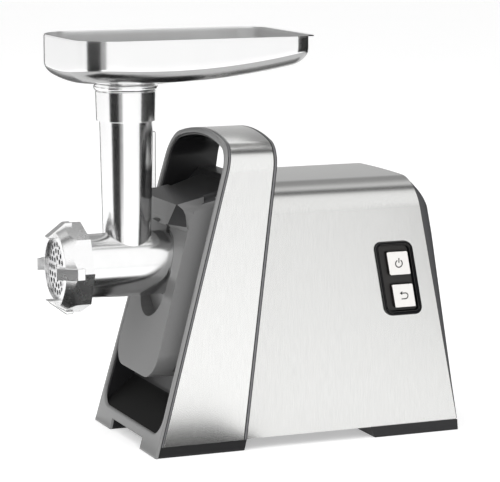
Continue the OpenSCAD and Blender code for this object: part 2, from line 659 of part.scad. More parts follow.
// Motor, along motor_c
motor_bolt_at = [for (s = [[-1, -1], [-1, 1], [1, -1], [1, 1]]) motor_c + 28.9 * s];
module motor_pinion() color([0.55, 0.55, 0.57]) in_drive() difference() {
    gear(motor_c, in_m, in_pinion, gap_towards(motor_c, first_c, in_pinion), 120.5, 130);
    rod_y(motor_c, 3, 110, 140);
}
module motor_shaft() color([0.6, 0.6, 0.62]) in_drive() {
    rod_y(motor_c, 3, 119, 131.5);
    rod_y(motor_c, 4, 131.5, 236);
}
module armature_core() color([0.5, 0.5, 0.52]) in_drive() difference() {
    rod_y(motor_c, 24, 156, 196);
    rod_y(motor_c, 4, 150, 200);
    for (a = [0 : 30 : 330]) rod_y(motor_c + 21.6 * [cos(a), sin(a)], 2.1, 150, 200);
}
module armature_winding() color([0.7, 0.38, 0.18]) in_drive() for (y = [150, 196]) difference() {
    rod_y(motor_c, 20, y, y + 6);
    rod_y(motor_c, 4, y - 1, y + 10);
}
module commutator() color([0.75, 0.45, 0.22]) in_drive() difference() {
    rod_y(motor_c, 12, 205, 219);
    rod_y(motor_c, 4, 200, 230);
    for (a = [0 : 15 : 345]) translate([motor_c[0], 200, motor_c[1]]) rotate([0, a, 0]) translate([-0.25, 0, 11])
        cube([0.5, 30, 2]);
}
module cooling_fan() color([0.15, 0.15, 0.16]) in_drive() difference() {
    union() {
        rod_y(motor_c, 36, 141, 142.5);
        rod_y(motor_c, 8, 141, 149);
        for (a = [0 : 36 : 324]) translate([motor_c[0], 0, motor_c[1]]) rotate([0, a, 0])
            translate([6, 142, -0.8]) cube([28, 6.5, 1.6]);
    }
    rod_y(motor_c, 4, 130, 160);
}
module stator_core() color([0.4, 0.4, 0.42]) in_drive() difference() {
    intersection() {
        rod_y(motor_c, 46, 156, 196);
        translate([-41, 156, motor_z - 41]) cube([82, 40, 82]);
    }
    rod_y(motor_c, 24.8, 150, 200);
    for (s = [-1, 1]) translate([s * 31 - 4, 150, motor_z - 12]) cube([8, 50, 24]);
    for (p = motor_bolt_at) rod_y(p, 2.2, 150, 200);
}
module field_coils() color([0.7, 0.38, 0.18]) in_drive() for (s = [-1, 1]) {
    translate([s * 31 - 4, 150, motor_z - 12]) cube([8, 52, 24]);
}
module motor_bracket() color([0.6, 0.6, 0.61]) in_drive() difference() {
    union() {
        translate([-40, 224, bracket_foot]) cube([80, 6, 92]);
        rod_y(motor_c, 15, 230, 236);
        for (s = [-1, 1]) translate([s * 36 - 6, 221, bracket_foot]) cube([12, 12, 3]);
    }
    rod_y(motor_c, 11, 220, 234);
    rod_y(motor_c, 4.5, 220, 240);
    for (p = motor_bolt_at) rod_y(p, 2, 220, 240);
    for (s = [-1, 1]) translate([s * 27 - 6, 222, motor_z - 12]) cube([12, 10, 24]);
}
module motor_bearings() color([0.7, 0.7, 0.72]) in_drive() for (y = [131.5, 227]) difference() {
    rod_y(motor_c, 11, y, y + (y < 200 ? 5.5 : 7));
    rod_y(motor_c, 4 + running, y - 1, y + 10);
}
module motor_bolts() color([0.55, 0.55, 0.57]) in_drive() for (p = motor_bolt_at) {
    rod_y(p, 2, 132, 230);
    rod_y(p, 3.5, 230, 233);
}
module carbon_brushes() color([0.2, 0.2, 0.2]) in_drive() for (s = [-1, 1])
    translate([s > 0 ? 12.1 : -30.1, 208, motor_z - 3]) cube([18, 8, 6]);
module brush_holders() color([0.75, 0.6, 0.3]) in_drive() for (s = [-1, 1]) difference() {
    translate([s > 0 ? 15 : -33, 206, motor_z - 5]) cube([18, 18, 10]);
    translate([s > 0 ? 14 : -34, 208, motor_z - 3]) cube([20, 8, 6]);
}

tower_frame();
tower_skin();
front_trim();
seam_trim();
arch_liner();
drive_housing();
front_well();
body_skin();
rear_cover();
cover_screws();
base_plate();
base_screws();
front_feet();
rear_feet();
control_bezel();
power_button();
reverse_button();
switch_board();
speed_board();
cable_gland();
grinder_head();
ring_nut();
cutting_plate();
cutting_knife();
auger();
auger_bush();
tray();
lock_knob();
drive_socket();
output_shaft();
output_gear();
output_bushes();
second_gear();
second_pin();
first_gear();
first_pin();
gearbox_shell();
gearbox_cover();
gearbox_screws();
gearbox_bracket();
rubber_mounts();
motor_pinion();
motor_shaft();
armature_core();
armature_winding();
commutator();
cooling_fan();
stator_core();
field_coils();
motor_bracket();
motor_bearings();
motor_bolts();
carbon_brushes();
brush_holders();
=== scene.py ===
import json
import math

import bpy
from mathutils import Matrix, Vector


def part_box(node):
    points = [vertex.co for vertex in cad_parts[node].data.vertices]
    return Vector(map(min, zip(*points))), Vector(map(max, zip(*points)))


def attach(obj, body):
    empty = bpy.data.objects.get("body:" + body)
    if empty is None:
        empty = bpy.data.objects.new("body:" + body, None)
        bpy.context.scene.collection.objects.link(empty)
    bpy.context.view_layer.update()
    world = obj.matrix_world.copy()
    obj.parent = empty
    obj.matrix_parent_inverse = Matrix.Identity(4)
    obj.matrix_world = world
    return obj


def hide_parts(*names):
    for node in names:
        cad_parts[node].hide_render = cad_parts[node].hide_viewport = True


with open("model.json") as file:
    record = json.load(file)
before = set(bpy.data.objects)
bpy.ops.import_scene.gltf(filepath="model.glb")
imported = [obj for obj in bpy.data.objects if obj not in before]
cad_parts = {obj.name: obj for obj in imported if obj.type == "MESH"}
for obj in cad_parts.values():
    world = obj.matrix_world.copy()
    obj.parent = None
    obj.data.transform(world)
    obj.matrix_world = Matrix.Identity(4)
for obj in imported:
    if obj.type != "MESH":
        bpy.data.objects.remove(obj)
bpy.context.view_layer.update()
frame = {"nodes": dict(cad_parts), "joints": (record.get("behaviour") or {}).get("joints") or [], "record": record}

mm = 0.001
towerLow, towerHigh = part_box("tower_frame")
toe = towerLow.y  # front edge of the tower where it meets the floor
joints = {joint["name"]: joint for joint in frame["joints"]}
mounts = {mount["name"]: mount for mount in frame["record"]["mounts"]}
axisZ = joints["auger_turn"]["pos_m"][2] / mm
tubeY = (mounts["feed_throat"]["pos_m"][1] - toe) / mm


# millimetres, with Y counted from the tower's toe, to metres in the frame
def at(x, y, z):
    return Vector((x * mm, toe + y * mm, z * mm))


cameraView = {"azimuth": 67.68, "elevation": 8.89, "distance": 2.182, "lens": 173.2,
              "target": (0.0, 0.0103, 0.1729)}


def makeCamera(view):
    a, e = math.radians(view["azimuth"]), math.radians(view["elevation"])
    back = Vector((math.sin(a) * math.cos(e), -math.cos(a) * math.cos(e), math.sin(e)))
    place = Vector(view["target"]) + back * view["distance"]
    bpy.ops.object.camera_add(location=place)
    camera = bpy.context.object
    camera.rotation_mode = "QUATERNION"
    camera.rotation_quaternion = (-back).to_track_quat("-Z", "Y")
    camera.data.lens = view["lens"]
    camera.data.sensor_width = 36
    camera.data.clip_start, camera.data.clip_end = 0.05, 60
    bpy.context.scene.camera = camera


makeCamera(cameraView)
print("camera placed")


def pickNothing():
    if bpy.context.object and bpy.context.object.mode != "OBJECT":
        bpy.ops.object.mode_set(mode="OBJECT")
    bpy.ops.object.select_all(action="DESELECT")


def pick(*pieces):
    pickNothing()
    for piece in pieces:
        piece.select_set(True)
    bpy.context.view_layer.objects.active = pieces[0]


def pickVertices(piece, wanted):
    pick(piece)
    bpy.ops.object.mode_set(mode="EDIT")
    bpy.ops.mesh.select_all(action="DESELECT")
    bpy.ops.object.mode_set(mode="OBJECT")
    for i in wanted:
        piece.data.vertices[i].select = True
    bpy.ops.object.mode_set(mode="EDIT")


def modify(piece, kind, **settings):
    pick(piece)
    step = piece.modifiers.new("step", kind)
    for key, value in settings.items():
        setattr(step, key, value)
    bpy.ops.object.modifier_apply(modifier=step.name)
    return piece


def cleanUp(piece, angle=35):
    pick(piece)
    bpy.ops.object.mode_set(mode="EDIT")
    bpy.ops.mesh.select_all(action="SELECT")
    bpy.ops.mesh.remove_doubles(threshold=1e-6)
    bpy.ops.mesh.normals_make_consistent(inside=False)
    bpy.ops.object.mode_set(mode="OBJECT")
    bpy.ops.object.shade_smooth_by_angle(angle=math.radians(angle))
    return piece


# a skin over rings of equal count: a circle takes the first ring and is extruded to the others in turn
def loft(name, rings, capStart=True, capEnd=True, closed=False, angle=35):
    pickNothing()
    count = len(rings[0])
    bpy.ops.mesh.primitive_circle_add(vertices=count, radius=0.01, location=(0, 0, 0))
    piece = bpy.context.object
    piece.name = piece.data.name = name
    for vertex, point in zip(piece.data.vertices, rings[0]):
        vertex.co = point
    for ring in rings[1:] + ([rings[0]] if closed else []):
        bpy.ops.object.mode_set(mode="EDIT")
        bpy.ops.mesh.extrude_region_move()
        bpy.ops.object.mode_set(mode="OBJECT")
        for vertex, point in zip([v for v in piece.data.vertices if v.select], ring):
            vertex.co = point
    last = len(piece.data.vertices)
    for wanted, first in ((capStart and not closed, 0), (capEnd and not closed, last - count)):
        if wanted:
            pickVertices(piece, range(first, first + count))
            bpy.ops.mesh.edge_face_add()
            bpy.ops.object.mode_set(mode="OBJECT")
    return cleanUp(piece, angle)


def bevel(piece, width, segments=2, limit=30):
    modify(piece, "BEVEL", width=width * mm, segments=segments, limit_method="ANGLE",
           angle_limit=math.radians(limit), use_clamp_overlap=True, miter_outer="MITER_ARC")
    return cleanUp(piece, limit + 5)


def combine(piece, tool, how="DIFFERENCE"):
    modify(piece, "BOOLEAN", operation=how, solver="EXACT", object=tool)
    bpy.data.objects.remove(tool)
    return piece


def join(name, *pieces):
    pick(*pieces)
    if len(pieces) > 1:
        bpy.ops.object.join()
    pieces[0].name = pieces[0].data.name = name
    return pieces[0]


def arc(cx, cy, r, start, end, steps):
    return [(cx + r * math.cos(math.radians(start + (end - start) * i / steps)),
             cy + r * math.sin(math.radians(start + (end - start) * i / steps))) for i in range(steps + 1)]


# moves a counterclockwise outline inwards; a negative distance moves it out
def inset(loop, distance):
    made = []
    for i, point in enumerate(loop):
        before, after = loop[i - 1], loop[(i + 1) % len(loop)]
        a = Vector((point[0] - before[0], point[1] - before[1])).normalized()
        b = Vector((after[0] - point[0], after[1] - point[1])).normalized()
        normal = Vector((-a.y - b.y, a.x + b.x)).normalized()
        reach = distance / max(0.35, normal.dot(Vector((-a.y, a.x))))
        made.append((point[0] + normal.x * reach, point[1] + normal.y * reach))
    return made


def filletLine(points, radii, steps=5):
    line = [points[0]]
    for before, point, after, r in zip(points, points[1:], points[2:], radii):
        a, b = Vector(before) - Vector(point), Vector(after) - Vector(point)
        half = a.angle(b) / 2
        run = min(r / math.tan(half), a.length * 0.49, b.length * 0.49)
        p, q = Vector(point) + a.normalized() * run, Vector(point) + b.normalized() * run
        for i in range(steps + 1):
            t = i / steps
            line.append(tuple((1 - t) ** 2 * p + 2 * t * (1 - t) * Vector(point) + t * t * q))
    return line + [points[-1]]


def roundRect(w, h, r, skew=0.0, steps=6):
    loop = []
    for k, (sx, sy) in enumerate(((1, 1), (-1, 1), (-1, -1), (1, -1))):
        loop += arc(sx * (w / 2 - r), sy * (h / 2 - r), r, 90 * k, 90 * k + 90, steps)
    return [(x - skew * y, y) for x, y in loop]


# rings of a turned shape from its (radius, height) profile; place puts a point on the shape's own axis
def revolve(profile, steps, place):
    return [[place(r * math.cos(2 * math.pi * i / steps), r * math.sin(2 * math.pi * i / steps), h)
             for i in range(steps)] for r, h in profile]


def alongAxis(a, b, h):
    return at(a, h, axisZ + b)


def alongTube(a, b, h):
    return at(a, tubeY + b, h)


# noise on object coordinates moves the tint between dark and light, and the roughness and relief with it;
# a single number is a grey, or the same scale every way
def finish(name, light, dark, metallic, rough, spread, scale, bump, depth=0.0002, specular=0.5):
    light, dark, scale = (value if isinstance(value, tuple) else (value,) * 3
                          for value in (light, dark, scale))
    material = bpy.data.materials.new(name)
    material.use_nodes = True
    nodes, links = material.node_tree.nodes, material.node_tree.links
    shader = nodes["Principled BSDF"]
    shader.inputs["Metallic"].default_value = metallic
    shader.inputs["Specular IOR Level"].default_value = specular
    place = nodes.new("ShaderNodeTexCoord")
    mapping = nodes.new("ShaderNodeMapping")
    mapping.inputs["Scale"].default_value = scale
    noise = nodes.new("ShaderNodeTexNoise")
    noise.inputs["Scale"].default_value = 1.0
    noise.inputs["Detail"].default_value = 4
    tint = nodes.new("ShaderNodeMix")
    tint.data_type = "RGBA"
    tint.inputs[6].default_value = (*dark, 1)
    tint.inputs[7].default_value = (*light, 1)
    sheen = nodes.new("ShaderNodeMapRange")
    sheen.inputs["To Min"].default_value = rough - spread
    sheen.inputs["To Max"].default_value = rough + spread
    links.new(place.outputs["Object"], mapping.inputs["Vector"])
    links.new(mapping.outputs["Vector"], noise.inputs["Vector"])
    links.new(noise.outputs["Fac"], tint.inputs[0])
    links.new(tint.outputs[2], shader.inputs["Base Color"])
    links.new(noise.outputs["Fac"], sheen.inputs["Value"])
    links.new(sheen.outputs["Result"], shader.inputs["Roughness"])
    if bump:
        relief = nodes.new("ShaderNodeBump")
        relief.inputs["Strength"].default_value = bump
        relief.inputs["Distance"].default_value = depth
        links.new(noise.outputs["Fac"], relief.inputs["Height"])
        links.new(relief.outputs["Normal"], shader.inputs["Normal"])
    return material


brushedSteel = finish("brushedSteel", (0.83, 0.83, 0.82), (0.68, 0.68, 0.67), 1.0, 0.23, 0.03,
                      (1400, 1400, 70), 0.03, 0.0001)
bodySteel = finish("bodySteel", (0.75, 0.75, 0.74), (0.6, 0.6, 0.59), 1.0, 0.25, 0.03, (1400, 1400, 70), 0.03,
                   0.0001)
polishedSteel = finish("polishedSteel", 0.92, 0.88, 1.0, 0.17, 0.02, 40, 0)
# painted shade for the downward faces of the tray's outer fillet
filletShadeSteel = finish("filletShadeSteel", 0.42, 0.38, 1.0, 0.24, 0.03, 40, 0)
panSteel = finish("panSteel", 0.74, 0.68, 1.0, 0.34, 0.05, 60, 0.02)
castAluminium = finish("castAluminium", 0.9, 0.84, 1.0, 0.18, 0.02, 120, 0)
nutSteel = finish("nutSteel", 0.9, 0.84, 1.0, 0.27, 0.02, 120, 0)
groundSteel = finish("groundSteel", 0.8, (0.66, 0.66, 0.67), 1.0, 0.28, 0.08, (900, 120, 900), 0.08)
greyPlastic = finish("greyPlastic", 0.235, 0.21, 0.0, 0.3, 0.05, 1400, 0.05)
darkPlastic = finish("darkPlastic", 0.17, 0.145, 0.0, 0.33, 0.05, 1400, 0.05)
# near-black; it is also painted shade on the housing's top deck and the hood's scoop
shadePlastic = finish("shadePlastic", (0.03, 0.03, 0.031), (0.022, 0.022, 0.023), 0.0, 0.35, 0.05, 900, 0.03,
                      specular=0.3)
# painted shade for the ramp at the foot of the recess
rampShadePlastic = finish("rampShadePlastic", 0.009, 0.006, 0.0, 0.5, 0.05, 900, 0.03, specular=0.12)
linerPlastic = finish("linerPlastic", (0.016, 0.016, 0.017), (0.011, 0.011, 0.012), 0.0, 0.3, 0.06, 1400,
                      0.05)
blackPlastic = finish("blackPlastic", (0.008, 0.008, 0.009), (0.005, 0.005, 0.006), 0.0, 0.2, 0.04, 900, 0.03,
                      specular=0.06)
# painted sheen for the bezel's floor and a painted highlight for its thin inner rim
paintedSheenPlastic = finish("paintedSheenPlastic", (0.04, 0.038, 0.037), (0.03, 0.028, 0.027), 0.0, 0.3, 0.04, 900, 0.03,
                      specular=0.2)
# painted shade for the rear half of the housing's sides, towards the rim
sideShadePlastic = finish("sideShadePlastic", 0.06, 0.05, 0.0, 0.33, 0.05, 1400, 0.05)
coverPlastic = finish("coverPlastic", (0.05, 0.05, 0.053), (0.038, 0.038, 0.041), 0.0, 0.42, 0.06, 1600, 0.12)
stripPlastic = finish("stripPlastic", (0.15, 0.15, 0.155), (0.12, 0.12, 0.125), 0.0, 0.3, 0.05, 900, 0.03)
keyPlastic = finish("keyPlastic", (0.78, 0.76, 0.74), (0.73, 0.71, 0.69), 0.0, 0.36, 0.05, 900, 0.03)
# painted shade for the keys' sides in the bezel's recess
keySideShade = finish("keySideShade", (0.022, 0.018, 0.017), (0.014, 0.011, 0.011), 0.0, 0.3, 0.05, 900, 0.03)
footRubber = finish("footRubber", (0.024, 0.024, 0.025), (0.016, 0.016, 0.017), 0.0, 0.5, 0.08, 1200, 0.15,
                    specular=0.25)
zincPlate = finish("zincPlate", (0.62, 0.62, 0.64), (0.5, 0.5, 0.53), 1.0, 0.34, 0.08, 500, 0.06)
gearPlastic = finish("gearPlastic", (0.8, 0.77, 0.69), (0.74, 0.7, 0.61), 0.0, 0.42, 0.08, 300, 0.04)
bronze = finish("bronze", (0.62, 0.42, 0.2), (0.5, 0.33, 0.15), 1.0, 0.4, 0.1, 700, 0.08)
copperWire = finish("copperWire", (0.62, 0.27, 0.11), (0.38, 0.14, 0.05), 0.6, 0.34, 0.1, (180, 2600, 180),
                    0.5, 0.0004)
laminations = finish("laminations", (0.3, 0.3, 0.31), (0.14, 0.14, 0.15), 0.8, 0.45, 0.1, (60, 2200, 60), 0.4,
                     0.0003)
carbon = finish("carbon", 0.05, 0.03, 0.0, 0.6, 0.1, 900, 0.1)
circuitBoard = finish("circuitBoard", (0.03, 0.2, 0.08), (0.02, 0.12, 0.05), 0.0, 0.35, 0.08, 260, 0.1)
nylon = finish("nylon", (0.85, 0.84, 0.8), (0.78, 0.77, 0.72), 0.0, 0.45, 0.08, 300, 0.04)

slotFinish = {
    "grey_plastic": greyPlastic, "dark_plastic": coverPlastic, "black_plastic": blackPlastic,
    "brushed_steel": brushedSteel, "polished_steel": polishedSteel, "cast_aluminium": castAluminium,
    "tool_steel": groundSteel, "button_plastic": keyPlastic, "rubber": footRubber, "zinc": zincPlate,
    "gear_plastic": gearPlastic, "bronze": bronze, "copper": copperWire, "laminations": laminations,
    "carbon": carbon, "circuit_board": circuitBoard, "nylon": nylon}
nodeSlot = {part["node"]: part["material_slot"] for part in frame["record"]["subparts"]}
for nodeName, node in frame["nodes"].items():
    node.data.materials.clear()
    node.data.materials.append(slotFinish[nodeSlot[nodeName]])
bodyOf = {nodeName: body for body, members in frame["record"]["behaviour"]["bodies"].items()
          for nodeName in members}
print("finishes made")


# hands a finished piece over in place of its CAD node
def settle(piece, nodeName, *materials):
    modify(piece, "WEIGHTED_NORMAL", keep_sharp=True)
    piece.data.materials.clear()
    for material in materials:
        piece.data.materials.append(material)
    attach(piece, bodyOf[nodeName])
    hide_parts(nodeName)
    print(piece.name, len(piece.data.polygons))
    return piece


def paint(piece, index, wanted):
    for face in piece.data.polygons:
        if wanted(face):
            face.material_index = index


# sizes in these dictionaries are millimetres unless a note says otherwise; taper and leans are run over rise
tower = {"width": (towerHigh.x - towerLow.x) / mm, "height": towerHigh.z / mm, "crown": 211, "shoulder": 27,
         "taper": 0.036, "lean": 0.275, "length": 85.2, "rearLean": 0.134, "wall": 4.5, "skin": 1.0,
         "liner": 6.5, "rim": 2.5, "trim": 5.3, "seam": 3.5, "sill": 18, "feet": 9.8, "footIn": 40,
         "corner": 17}


# the arch seen from the front: a leg, a shoulder arc and a crown arc, mirrored; (x, z) and the inward normal
def archPath(width, top, crown, shoulder, low, steps=(6, 14, 14)):
    tilt = math.atan(tower["taper"])
    cx = width / 2 - tower["taper"] * (top - shoulder) - shoulder / math.cos(tilt)
    cz = top - crown + math.sqrt((crown - shoulder) ** 2 - cx * cx)
    turn = math.atan2(cz - top + crown, cx)
    lowest = (width / 2 - tower["taper"] * low, low)
    first = (cx + shoulder * math.cos(tilt), cz + shoulder * math.sin(tilt))
    half = []
    for i in range(steps[0]):
        t = i / steps[0]
        half.append((lowest[0] + (first[0] - lowest[0]) * t, lowest[1] + (first[1] - lowest[1]) * t, tilt))
    for i in range(steps[1]):
        a = tilt + (turn - tilt) * i / steps[1]
        half.append((cx + shoulder * math.cos(a), cz + shoulder * math.sin(a), a))
    for i in range(steps[2] // 2):
        a = turn + (math.pi / 2 - turn) * i / (steps[2] // 2)
        half.append((crown * math.cos(a), top - crown + crown * math.sin(a), a))
    path = half + [(0, top, math.pi / 2)] + [(-x, z, math.pi - a) for x, z, a in reversed(half)]
    return [(x, z, -math.cos(a), -math.sin(a)) for x, z, a in path]


def frontY(z):
    return tower["lean"] * z


def rearY(z):
    return tower["length"] + tower["rearLean"] * z


def tailY(z):
    return body["tail"] - body["tailLean"] * z


# carries a section round the arch; each point of it is a depth from the outside, a share of the way from the
# first plane to the second, and an offset
def sweep(name, path, section, planes, angle=35):
    rings = []
    for x, z, nx, nz in path:
        ring = []
        for t, f, d in section:
            px, pz = x + nx * t, z + nz * t
            ring.append(at(px, planes[0](pz) * (1 - f) + planes[1](pz) * f + d, pz))
        rings.append(ring)
    return loft(name, rings, angle=angle)


def towerPath(low, steps=(6, 14, 14)):
    return archPath(tower["width"], tower["height"], tower["crown"], tower["shoulder"], low, steps)


towerPlanes = (frontY, rearY)


def makeTowerFrame():
    r, sill, foot, inner = tower["corner"], tower["sill"], tower["feet"], tower["footIn"]
    outer = [(x, z) for x, z, nx, nz in towerPath(0)]
    opening = [(x + nx * tower["wall"], z + nz * tower["wall"]) for x, z, nx, nz in towerPath(sill + r)]
    edge = opening[-1][0]
    opening += arc(edge + r, sill + r, r, 180, 270, 8)[1:] + arc(-edge - r, sill + r, r, 270, 360, 8)[:-1]
    steps = [(-x, 0) for x in (77, 71, 64, 56, 48)] + [(-inner, 0), (-inner, foot / 2), (-inner, foot)]
    outer += steps + [(-x, z) for x, z in reversed(steps)]
    rings = []
    for loop, away, y in ((outer, 0, tower["rim"]), (outer, 0, 0.9), (outer, 0.25, 0.25), (outer, 0.9, 0),
                          (opening, -1.3, 0), (opening, -0.4, 0.4), (opening, 0, 1.3),
                          (opening, 0, tower["rim"])):
        rings.append([at(x, frontY(z) + y, z) for x, z in inset(loop, away)])
    rim = loft("rim", rings, closed=True, angle=50)
    seat, wall = tower["skin"] + 0.05, tower["wall"]
    section = [(seat, 0, 2.4), (wall, 0, 2.4), (wall, 1, -0.8), (wall - 0.3, 1, -0.2), (wall - 0.9, 1, 0),
               (seat + 0.3, 1, 0), (seat, 1, -0.3)]
    sleeve = sweep("sleeve", towerPath(tower["feet"]), section, towerPlanes, 50)
    return settle(join("arch_frame", rim, sleeve), "tower_frame", greyPlastic)


def makeTowerSkin():
    front, rear, skin = tower["trim"], -tower["seam"], tower["skin"]
    section = [(skin, 0, front), (0.25, 0, front), (0, 0, front + 0.25), (0, 1, rear - 0.25), (0.25, 1, rear),
               (skin, 1, rear)]
    piece = sweep("steel_wrap", towerPath(tower["feet"], (10, 20, 18)), section, towerPlanes, 50)
    return settle(piece, "tower_skin", brushedSteel)


def makeStrip(name, nodeName, f, section, band):
    piece = sweep(name, towerPath(tower["feet"]), [(t, f, d) for t, d in section], towerPlanes, 40)
    settle(piece, nodeName, linerPlastic, stripPlastic)

    def onBead(face):  # the raised bead is lighter than the grooves beside it
        depth = (face.center.y - toe) / mm - towerPlanes[f](face.center.z / mm)
        return band[0] < depth < band[1] and abs(face.normal.y) < 0.8

    paint(piece, 1, onBead)
    return piece


def makeTowerTrims():
    makeStrip("front_strip", "front_trim", 0,
              [(1, 2.5), (0.55, 2.5), (0.5, 3.1), (0.05, 3.35), (0, 3.6), (0, 4.6), (0.05, 4.8), (0.5, 5.0),
               (0.55, 5.28), (1, 5.28)], (3.2, 4.9))
    makeStrip("seam_strip", "seam_trim", 1,
              [(1, -3.48), (0.6, -3.48), (0.55, -2.9), (0.05, -2.65), (0, -2.4), (0, -1.3), (0.05, -1.0),
               (0.55, -0.75), (0.6, 0), (1, 0)], (-2.8, -0.9))


def makeArchLiner():
    wall, liner = tower["wall"] + 0.05, tower["liner"]
    section = [(wall, 0, 2.55), (liner - 0.9, 0, 2.55), (liner - 0.25, 0, 2.8), (liner, 0, 3.5),
               (liner, 1, -1.2), (liner - 0.4, 1, -0.4), (liner - 1, 1, -0.1), (wall, 1, -0.1)]
    piece = sweep("arch_lining", towerPath(tower["sill"]), section, towerPlanes, 50)
    return settle(piece, "arch_liner", linerPlastic)


makeTowerFrame()
makeTowerSkin()
makeTowerTrims()
makeArchLiner()

recess = {"lip": 2.6, "route": [(37, 43), (73, 214), (84, 219), (98, 234), (116, 234)], "radii": [9, 6, 5, 4],
          "thick": 2.4, "ramp": 42.5}
housing = {"half": 52, "low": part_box("drive_housing")[0].z / mm, "corner": 24, "proud": 8.5, "shoulder": 12,
           "lean": 0.045, "top": 220, "back": 231, "rise": 120, "depth": 36, "draft": 8, "pocket": 32,
           "drop": 18, "pocketY": 35, "socket": 29.0, "keyway": 4}
# each level of the hood is a height, half its width and how far back its scoop lies
hood = {"face": 34, "side": 46.8, "arch": 40, "back": 60, "foot": (190, 22, 46),
        "levels": [(216.4, 45.6, 35.2), (212, 40.8, 40.2), (207, 35.4, 42.4), (202, 30, 43.0),
                   (196.5, 24, 43.4)]}


def panelY(z):
    return frontY(z) - housing["proud"]


def prismX(name, profile, half, angle=30):
    return loft(name, [[at(side * half(z), y, z) for y, z in profile] for side in (-1, 1)], angle=angle)


def prismY(name, outline, y0, y1, angle=30):
    return loft(name, [[at(x, y, z) for x, z in outline] for y in (y0, y1)], angle=angle)


# share is 0 on the front panel and 1 at the foot of the housing's drafted sides
def housingOutline(away=0.0, share=0.0):
    half, low, corner, top, r = (housing[key] for key in ("half", "low", "corner", "top", "shoulder"))
    narrow = half - housing["lean"] * (top - r - low - corner)
    right = arc(half - corner, low + corner, corner, -90, 0, 12) + arc(narrow - r, top - r, r, 0, 90, 12)
    loop = inset(right + [(-x, z) for x, z in reversed(right)], away)
    grown = []
    for x, z in loop:
        rise = max(0, (z - housing["rise"]) / (top - housing["rise"])) * (housing["back"] - top)
        grown.append((x * (1 + share * housing["draft"] / half), z + share * rise))
    return grown


def makeRecess():
    sill, thick = tower["sill"], recess["thick"]
    line = filletLine([(frontY(sill) + recess["lip"], sill)] + recess["route"], recess["radii"])
    profile = line + [(y + thick, z - thick) for y, z in line[::-1]]
    half = tower["width"] / 2 - tower["liner"] - 0.1
    wall = prismX("recess_wall", profile, lambda z: half - tower["taper"] * z, 40)
    combine(wall, prismY("tool", housingOutline(5), 30, 140))
    settle(cleanUp(wall, 40), "front_well", shadePlastic, rampShadePlastic)
    # painted shade: faces of the ramp, below the ramp height, take the second, darker plastic
    paint(wall, 1, lambda face: face.center.z < recess["ramp"] * mm)
    return wall


def makeHood():
    face, side, back = hood["face"], hood["side"], hood["back"]

    def ring(front, rear, wide, scoop, low, y):
        half = [(wide, y, front), (side, scoop, low), (side - 1, back, rear)]
        return [at(x, v, z) for x, v, z in half] + [at(-x, v, z) for x, v, z in half[::-1]]

    top, wide, scoop = hood["levels"][0]
    rings = [ring(top + 0.4, top + 6, wide, scoop, top + 0.6, face)]
    rings += [ring(z, z, n, c, z, face) for z, n, c in hood["levels"]]
    z, wide, scoop = hood["foot"]
    rings.append(ring(z, z, wide, scoop, z, scoop))
    block = loft("hood", rings, angle=20)
    return combine(block, loft("tool", revolve([(hood["arch"], 10), (hood["arch"], 43)], 96, alongAxis)))


def makeHousing():
    rings = []
    for away, share, depth in ((1.1, 0, 0), (0.35, 0, 0.3), (0, 0, 1.1), (0, 0.5, 0.5 * housing["depth"]),
                               (0, 1, housing["depth"])):
        rings.append([at(x, panelY(z) + depth, z) for x, z in housingOutline(away, share)])
    block = loft("drive_housing_shell", rings, angle=40)
    combine(block, makeHood(), "UNION")
    r, drop = housing["pocket"], housing["drop"]
    slot = [(x, axisZ + z) for x, z in arc(0, 0, r, 0, 180, 32) + arc(0, -drop, r - 2, 180, 360, 32)]
    combine(block, prismY("tool", slot, -30, housing["pocketY"]))
    combine(block, loft("tool", revolve([(housing["socket"], -30), (housing["socket"], 130)], 96, alongAxis)))
    w, low, high = housing["keyway"], axisZ + 20, axisZ + 35
    combine(block, prismY("tool", [(-w, low), (w, low), (w, high), (-w, high)], 0, 77))
    modify(block, "BEVEL", width=0.6 * mm, segments=2, limit_method="ANGLE", angle_limit=math.radians(35),
           use_clamp_overlap=True)
    settle(cleanUp(block, 32), "drive_housing", darkPlastic, shadePlastic, sideShadePlastic)
    # painted shade: the housing's top deck and the hood's scoop facets take the near-black shadePlastic
    paint(block, 1, lambda face: face.normal.z > 0.8 and face.center.z > 190 * mm or
          face.center.z > 185 * mm and 0.3 < abs(face.normal.x) < 0.95 and face.normal.y < -0.3)
    # painted shade: the rear half of the housing's sides takes the third, darker plastic
    paint(block, 2, lambda face: abs(face.normal.x) > 0.7 and abs(face.center.x) > 40 * mm and
          (face.center.y - toe) / mm - panelY(face.center.z / mm) > housing["depth"] / 2)
    return block


makeRecess()
makeHousing()

body = {"half": tower["width"] / 2 - 2.2, "height": 233.6, "crown": 1500, "shoulder": 28, "tail": 296,
        "tailLean": 0.184}
panel = {"y": 235.5, "z": 143.3, "skew": 0.17, "tilt": math.atan(tower["taper"])}


def bodyPath(low, steps=(8, 18, 14)):
    return archPath(2 * body["half"], body["height"], body["crown"], body["shoulder"], low, steps)


# u runs to the rear, v up the leaning side and h outwards from it
def onPanel(u, v, h):
    x = body["half"] - tower["taper"] * panel["z"]
    c, s = math.cos(panel["tilt"]), math.sin(panel["tilt"])
    return at(x + h * c - v * s, panel["y"] + u, panel["z"] + h * s + v * c)


# a rounded, skewed plate on the side; each level is (inset, height)
def panelStack(name, levels, w, h, r, middle=(0, 0), angle=35, steps=6):
    loop = roundRect(w, h, r, panel["skew"], steps)
    rings = []
    for away, height in levels:
        rings.append([onPanel(u + middle[0] - panel["skew"] * middle[1], v + middle[1], height)
                      for u, v in inset(loop, away)])
    return loft(name, rings, angle=angle)


